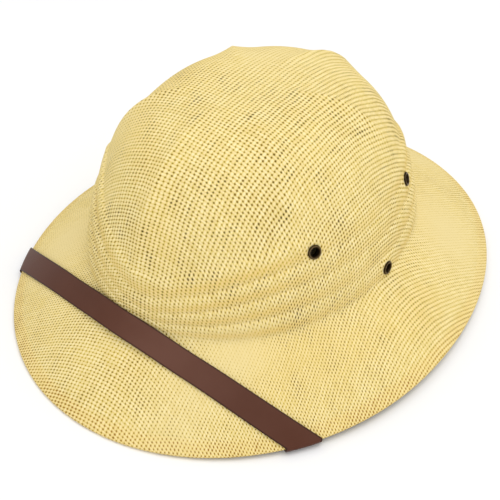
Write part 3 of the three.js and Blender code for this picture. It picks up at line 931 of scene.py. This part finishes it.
def between(pairs):
    """Values for both edges of each section, spread across the strap."""
    return pairs[:, :1] + (pairs[:, 1:] - pairs[:, :1]) * ACROSS


def strap_over_brim(share):
    """Angle share RIM_ANGLES, reach START_REACH + (1 - START_REACH) share ^ REACH_POWER, and the climb."""
    share = share[:, None]
    angles = share * RIM_ANGLES
    reaches = between(START_REACH + (1 - START_REACH) * share ** REACH_POWER)
    climbs = between(CLIMB * np.clip(1 - (angles / CLIMB_ANGLES) ** 2, 0, 1) ** 2)
    normal = normal_of(brim_surface, between(angles), reaches)
    points = brim_surface(between(angles), reaches) + normal * STRAP_ROOM
    points[..., 2] += climbs
    return points, normal


print("strap", STRAP_WIDTH, "wide and", STRAP_THICKNESS, "thick")

# %% [markdown]
# At the rim the leather bends round the hem. Half an oval about the middle of the hem gives that fold,
# and the strap keeps its gap to the straw there too.


# %% Fold the strap round the rim
def strap_round_rim(turns):
    """An oval about the middle of the hem: cos(turn) of it up, sin(turn) outward."""
    around = between(np.ones((len(turns), 1)) * RIM_ANGLES)
    up = normal_of(brim_surface, around, np.ones_like(around))
    out = unit(brim_surface(around, 1.0) - brim_surface(around, 0.0))
    cosine = np.cos(turns)[:, None, None]
    sine = np.sin(turns)[:, None, None]
    points = brim_surface(around, 1.0) - up * HEM_THICKNESS / 2
    points = points + up * cosine * (HEM_THICKNESS / 2 + STRAP_ROOM) + out * sine * (RIM_BULGE + STRAP_ROOM)
    return points, up * cosine + out * sine


print("folds at", np.degrees(RIM_ANGLES), "degrees from the front")

# %% [markdown]
# Under the brim the strap hangs a little free of the straw. Then it turns up at the crease and climbs
# the crown's inner face to the low eyelet, which holds it. The photo doesn't show this stretch, so it
# takes the plainest way.

# %% Run the strap under the brim and up to the low eyelet
STRAP_SAG = 0.0012
TAIL_SLOPE = math.radians(38)
TAIL_FIRST_CLIMB = 0.0025
TAIL_AFTER = 0.011
LOW_DEGREES, LOW_HEIGHT, LOW_STAND_OUT = EYELETS[2][1:]
LOW_ANGLE = math.radians(LOW_DEGREES)
LOW_CLIMB = LOW_HEIGHT * CROWN_HEIGHT


def tail_section(distance, width_share):
    """Angles and climbs of both edges at each distance along the tail from the low eyelet."""
    aside = width_share[:, None] * np.array([1, -1]) * STRAP_WIDTH / 2
    distance = distance[:, None]
    forward = distance * math.cos(TAIL_SLOPE) - aside * math.sin(TAIL_SLOPE)
    climbs = LOW_CLIMB + distance * math.sin(TAIL_SLOPE) + aside * math.cos(TAIL_SLOPE)
    return LOW_ANGLE + forward / (CROWN_LENGTH / 2), climbs


def tail_crossing(climb):
    """Angles at which both edges of the tail reach each climb over the crease."""
    angles, climbs = tail_section(np.zeros(1), np.ones(1))
    return angles + (climb[:, None] - climbs) / math.tan(TAIL_SLOPE) / (CROWN_LENGTH / 2)


def strap_under_brim(share):
    """From the rim to the crease, STRAP_SAG sin(pi share) lower than it lies at both ends."""
    crease = tail_crossing(np.zeros(1))
    angles = between(RIM_ANGLES + share[:, None] * (crease - RIM_ANGLES))
    full = [np.linalg.norm(brim_surface(a, 1.0) - brim_surface(a, 0.0), axis=-1)
            for a in (RIM_ANGLES, angles)]
    reaches = between((1 - share)[:, None] * full[0]) / full[1]
    normal = normal_of(brim_surface, angles, reaches)
    straw = HEM_THICKNESS + (STRAW_WALL - HEM_THICKNESS) * smoothstep(share, 0.75, 1.0)
    drop = straw + STRAP_ROOM + STRAP_SAG * np.sin(math.pi * share)
    return brim_surface(angles, reaches) - normal * drop[:, None, None], -normal


def strap_in_crown(angles, climbs):
    """Along the dome's inner face."""
    place = between(angles), lean_at(between(climbs) / CROWN_HEIGHT)
    normal = normal_of(crown_surface, *place)
    return crown_surface(*place) - normal * (STRAW_WALL + STRAP_ROOM), -normal


print("the tails reach", round(LOW_CLIMB + TAIL_AFTER * math.sin(TAIL_SLOPE), 4), "over the crease")

# %% [markdown]
# The turn at the crease and the rounded tip complete the left half. All stretches are rows of one grid
# with the same places across the strap, so they join without a gap. The right half is their mirror
# image.

# %% Join the strap's stretches
TAIL_FULL_AT = 0.4
TIP_ROWS_FROM = 0.45
TIP_START = 0.6
TIP_LAST = 0.97
TIP_POWER = 2.5
CREASE_MITRE = 0.5


def strap_round_crease(share):
    """Round the crease: its normal turns from the brim's to the crown's, with a small mitre."""
    crease = np.ones((len(share), 1)) * tail_crossing(np.zeros(1))
    angles = between(crease)
    brim = normal_of(brim_surface, angles, np.zeros_like(angles))
    crown = normal_of(crown_surface, angles, np.full_like(angles, math.pi / 2))
    t = share[:, None, None]
    normal = unit(brim * (1 - t) + crown * t)
    reach = (STRAW_WALL + STRAP_ROOM) * (1 + CREASE_MITRE * t * (1 - t))
    return brim_surface(angles, 0.0) - normal * reach, -normal


def tail_rows():
    """Sections from just over the crease to the rounded tip, as angles and climbs of both edges."""
    low = np.linspace(0.1, 1, 4) * TAIL_FIRST_CLIMB
    angles, climbs = [tail_crossing(low)], [low[:, None] * np.ones(2)]
    full_angles, full_climbs = tail_section(np.array([TAIL_FULL_AT * TAIL_AFTER]), np.ones(1))
    share = np.linspace(0.1, 1, 10)[:, None]
    angles.append(angles[0][-1] + (full_angles - angles[0][-1]) * share)
    climbs.append(climbs[0][-1] + (full_climbs - climbs[0][-1]) * share)
    distance = np.linspace(TIP_ROWS_FROM, 1, 10)
    taper = np.clip((distance - TIP_START) / (1 - TIP_START), 0, TIP_LAST)
    tip_angles, tip_climbs = tail_section(distance * TAIL_AFTER, np.sqrt(1 - taper ** TIP_POWER))
    return np.concatenate([*angles, tip_angles]), np.concatenate([*climbs, tip_climbs])


stretches = [
    strap_over_brim(np.linspace(0, 1, 72)),
    strap_round_rim(np.linspace(0, math.pi, 13)[1:-1]),
    strap_under_brim(np.linspace(0, 1, 30)),
    strap_round_crease(np.linspace(0, 1, 7)[1:-1]),
    strap_in_crown(*tail_rows()),
]
left_points = np.concatenate([points for points, normal in stretches])
left_normals = np.concatenate([normal for points, normal in stretches])
mirror = np.array([-1, 1, 1])
strap_points = np.concatenate([left_points[:0:-1] * mirror, left_points])
strap_normals = np.concatenate([left_normals[:0:-1] * mirror, left_normals])
strap_steps = np.linalg.norm(np.diff(strap_points, axis=0), axis=-1)
strap_way = np.concatenate([np.zeros((1, len(ACROSS))), np.cumsum(strap_steps, axis=0)])
print("strap length", round(float(strap_way[-1].mean()), 4))

# %% [markdown]
# ## The strap's body
# A cut leather strap has soft round edges. A bevel would round them too, but the grid already has close
# rows there, so the thickness follows a quarter circle at each edge, from a third of its full value up.

# %% Thicken the strap
EDGE_KEEP = 0.35

edge_way = np.minimum(ACROSS, 1 - ACROSS) * STRAP_WIDTH
edge_share = np.clip(edge_way / (STRAP_THICKNESS / 2), 0, 1)
half_thick = STRAP_THICKNESS / 2 * (EDGE_KEEP + (1 - EDGE_KEEP) * np.sqrt(1 - (1 - edge_share) ** 2))
strap_outer = strap_points + strap_normals * half_thick[:, None]
strap_inner = strap_points - strap_normals * half_thick[:, None]
strap_keep = np.ones((len(strap_points) - 1, len(ACROSS) - 1), bool)
for name in ("eyelet_left_low", "eyelet_right_low"):
    strap_keep, (strap_outer, strap_inner) = pierce(strap_keep, (strap_outer, strap_inner), seats[name])
print(int((~strap_keep).sum()), "cells dropped for the holes")

# %% [markdown]
# ## The strap's leather
# The leather is dark brown with fine pores and a faint mottle. Its edges are burnished, so they are
# darker and smoother, and a painted sheen makes a place at the front paler. Both follow the strap and
# not the room, so the mesh carries the way along the strap and the way in from its edge.

# %% Tan the leather
LEATHER_DARK = (0.024, 0.010, 0.006, 1.0)
LEATHER_BROWN = (0.084, 0.028, 0.015, 1.0)
LEATHER_LIGHT = (0.124, 0.053, 0.036, 1.0)
# A painted sheen: a paler band across the strap a little past its middle, at the front.
SHEEN_PAST_MIDDLE = 0.03
SHEEN_PLACE = float(strap_way[-1].mean()) / 2 + SHEEN_PAST_MIDDLE
SHEEN_REACH = 0.07

leather = Finish("strap_leather", Specular_IOR_Level=0.13)
side_way = leather.attribute("side_way")
from_sheen = (leather.attribute("strap_way") - SHEEN_PLACE).math("ABSOLUTE")
painted_sheen = 1.0 - from_sheen.smooth(0.0, SHEEN_REACH)
mottle = leather.noise(40.0, detail=4.0)
pores = leather.noise(1500.0, detail=3.0, roughness=0.6)
# The paler brown carries the painted sheen and the mottle.
brown = leather.mix(painted_sheen * 0.8 + mottle.smooth(0.35, 0.68) * 0.2, LEATHER_BROWN, LEATHER_LIGHT)
burnish = 1.0 - side_way.smooth(0.0002, 0.0013)
brown = leather.mix(burnish * 0.8, brown, LEATHER_DARK)
leather.paint(Base_Color=brown, Roughness=pores * 0.16 + mottle * 0.2 + 0.28 - burnish * 0.08)
leather.bump(pores + mottle * 0.6, 0.00012, 0.35)

side_ways = np.broadcast_to(edge_way, strap_way.shape)
strap = make_sheet("chin_strap_leather", strap_outer, strap_inner, leather.material,
                   {"side_way": side_ways, "strap_way": strap_way}, keep=strap_keep)
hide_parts("chin_strap")

# %% [markdown]
# ## The eyelets
# Each eyelet is a brass ring pressed through the straw: a rolled front flange, a barrel, and a back
# flange that is splayed out behind. One closed profile of radius and height is carried round the axis.

# %% Roll the eyelets
EYELET_COLUMNS = 48
EYELET_FRONT = [(2.8, 0.10), (2.84, 0.55), (3.0, 0.86), (3.3, 1.08), (3.65, 1.18), (4.0, 1.12),
                (4.16, 1.0), (4.28, 0.76), (4.36, 0.42), (4.36, 0.16), (4.2, 0.08), (3.5, 0.08)]
EYELET_BACK = [(3.5, 0.0), (4.25, -0.02), (4.4, -0.2), (4.34, -0.5), (4.0, -0.78), (3.6, -0.88),
               (3.2, -0.84), (2.9, -0.6), (2.8, -0.3)]
EYELET_CREST = max(height for radius, height in EYELET_FRONT) / 1000
STRAP_BACK_GAP = 0.0006
FIT_GAP = 0.0003


def eyelet_depth(name):
    """How far behind the straw's face the back flange starts: behind the wall, or behind the strap."""
    if not name.endswith("low"):
        return STRAW_WALL + FIT_GAP
    return LOW_STAND_OUT + STRAW_WALL + STRAP_GAP + STRAP_THICKNESS + STRAP_BACK_GAP


def make_eyelet(name, seat, material):
    """seat + height normal + radius (cos t first + sin t second), for each profile point and turn t."""
    behind = eyelet_depth(name)
    front = np.array(EYELET_FRONT) / 1000
    rear = np.array(EYELET_BACK) / 1000 - np.array([0, behind])
    profile = np.concatenate([front, rear])
    point, normal = seat
    first = unit(np.cross(np.array([0, 0, 1.0]), normal))
    second = np.cross(normal, first)
    turns = np.linspace(0, 2 * math.pi, EYELET_COLUMNS, endpoint=False)
    spokes = np.cos(turns)[:, None] * first + np.sin(turns)[:, None] * second
    grid = point + profile[:, None, 1:] * normal + profile[:, None, :1] * spokes
    number = np.arange(grid[..., 0].size).reshape(grid.shape[:2])
    corners = grid_corners(np.concatenate([number, number[:1]]), True)
    quads = np.stack([corner.ravel() for corner in corners], axis=1)
    crest = np.repeat(np.clip(profile[:, 1] / EYELET_CREST, 0, 1), EYELET_COLUMNS)
    ring = put_mesh(f"{name}_ring", grid.reshape(-1, 3), quads, np.zeros((0, 3), int), material,
                    {"crest": crest})
    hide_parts(name)


print(len(EYELET_FRONT) + len(EYELET_BACK), "points in the eyelet's profile")

# %% [markdown]
# Antique brass is darkened all over, and worn brighter on its crest, where it is rubbed. The mesh holds a
# value that is highest on the crest, so the wear follows the ring, and a fine noise breaks it up.

# %% Patinate the brass
BRASS_DARK = (0.035, 0.020, 0.008, 1.0)
BRASS_WORN = (0.20, 0.14, 0.065, 1.0)

brass = Finish("antique_brass", Metallic=1.0)
crest = brass.attribute("crest")
patina = brass.noise(700.0, detail=3.0)
wear = crest.smooth(0.8, 1.0) * 0.6 + patina.smooth(0.45, 0.75) * 0.2
brass.paint(Base_Color=brass.mix(wear, BRASS_DARK, BRASS_WORN), Roughness=0.6 - wear * 0.25)
brass.bump(patina, 0.00008, 0.4)
for name, seat in seats.items():
    make_eyelet(name, seat, brass.material)

# %% [markdown]
# ## The floor
# The photo has a plain white ground. A wide pale floor gives it and takes the soft shadow that the hat
# rests in. It belongs to the picture and not to the part.

# %% Lay the floor
FLOOR_SIZE = 6.0
FLOOR_STEPS = 24

floor_ticks = np.linspace(-FLOOR_SIZE / 2, FLOOR_SIZE / 2, FLOOR_STEPS + 1)
floor_y, floor_x = np.meshgrid(floor_ticks, floor_ticks, indexing="ij")
floor_points = np.stack([floor_x, floor_y, np.zeros_like(floor_x)], axis=-1).reshape(-1, 3)
floor_number = np.arange(len(floor_points)).reshape(floor_x.shape)
floor_quads = np.stack([floor_number[:-1, :-1].ravel(), floor_number[:-1, 1:].ravel(),
                        floor_number[1:, 1:].ravel(), floor_number[1:, :-1].ravel()], axis=1)
ground = Finish("pale_floor", Specular_IOR_Level=0.2)
grey = ground.noise(3.0, detail=2.0)
ground.paint(Base_Color=ground.mix(grey, (0.90, 0.90, 0.90, 1.0), (0.93, 0.93, 0.93, 1.0)),
             Roughness=grey * 0.1 + 0.7)
floor_mesh = bpy.data.meshes.new("floor")
floor_mesh.from_pydata(floor_points.tolist(), [], floor_quads.tolist())
floor_mesh.materials.append(ground.material)
floor = bpy.data.objects.new("floor", floor_mesh)
bpy.context.scene.collection.objects.link(floor)
print("floor", FLOOR_SIZE, "m wide")

# %% [markdown]
# ## The light
# The photo's light is soft and falls from the upper right of the picture, so the hat's left side and the
# foot of the crown are a little darker. A wide lamp overhead gives the direction. A weak one by the
# camera and a bright plain world fill the shadows.

# %% Hang the lamps
WORLD_STRENGTH = 0.85

world = bpy.data.worlds.new("studio")
world.use_nodes = True
world.node_tree.nodes["Background"].inputs["Color"].default_value = (1.0, 1.0, 1.0, 1.0)
world.node_tree.nodes["Background"].inputs["Strength"].default_value = WORLD_STRENGTH
bpy.context.scene.world = world


def hang_lamp(name, place, size, power):
    """A square lamp at a place, turned to the hat."""
    lamp_data = bpy.data.lights.new(name, "AREA")
    lamp_data.size = size
    lamp_data.energy = power
    lamp = bpy.data.objects.new(name, lamp_data)
    lamp.location = place
    lamp.rotation_euler = (CAMERA_TARGET - place).to_track_quat("-Z", "Y").to_euler()
    bpy.context.scene.collection.objects.link(lamp)


hang_lamp("key", CAMERA_TARGET + level * 0.45 + Vector((0, 0, 1.7)) + back * 0.3, size=1.3, power=12.6)
hang_lamp("fill", CAMERA_TARGET + Vector((0, 0, 0.3)) + back * 1.8, size=1.2, power=3.3)
print("two lamps and a white world")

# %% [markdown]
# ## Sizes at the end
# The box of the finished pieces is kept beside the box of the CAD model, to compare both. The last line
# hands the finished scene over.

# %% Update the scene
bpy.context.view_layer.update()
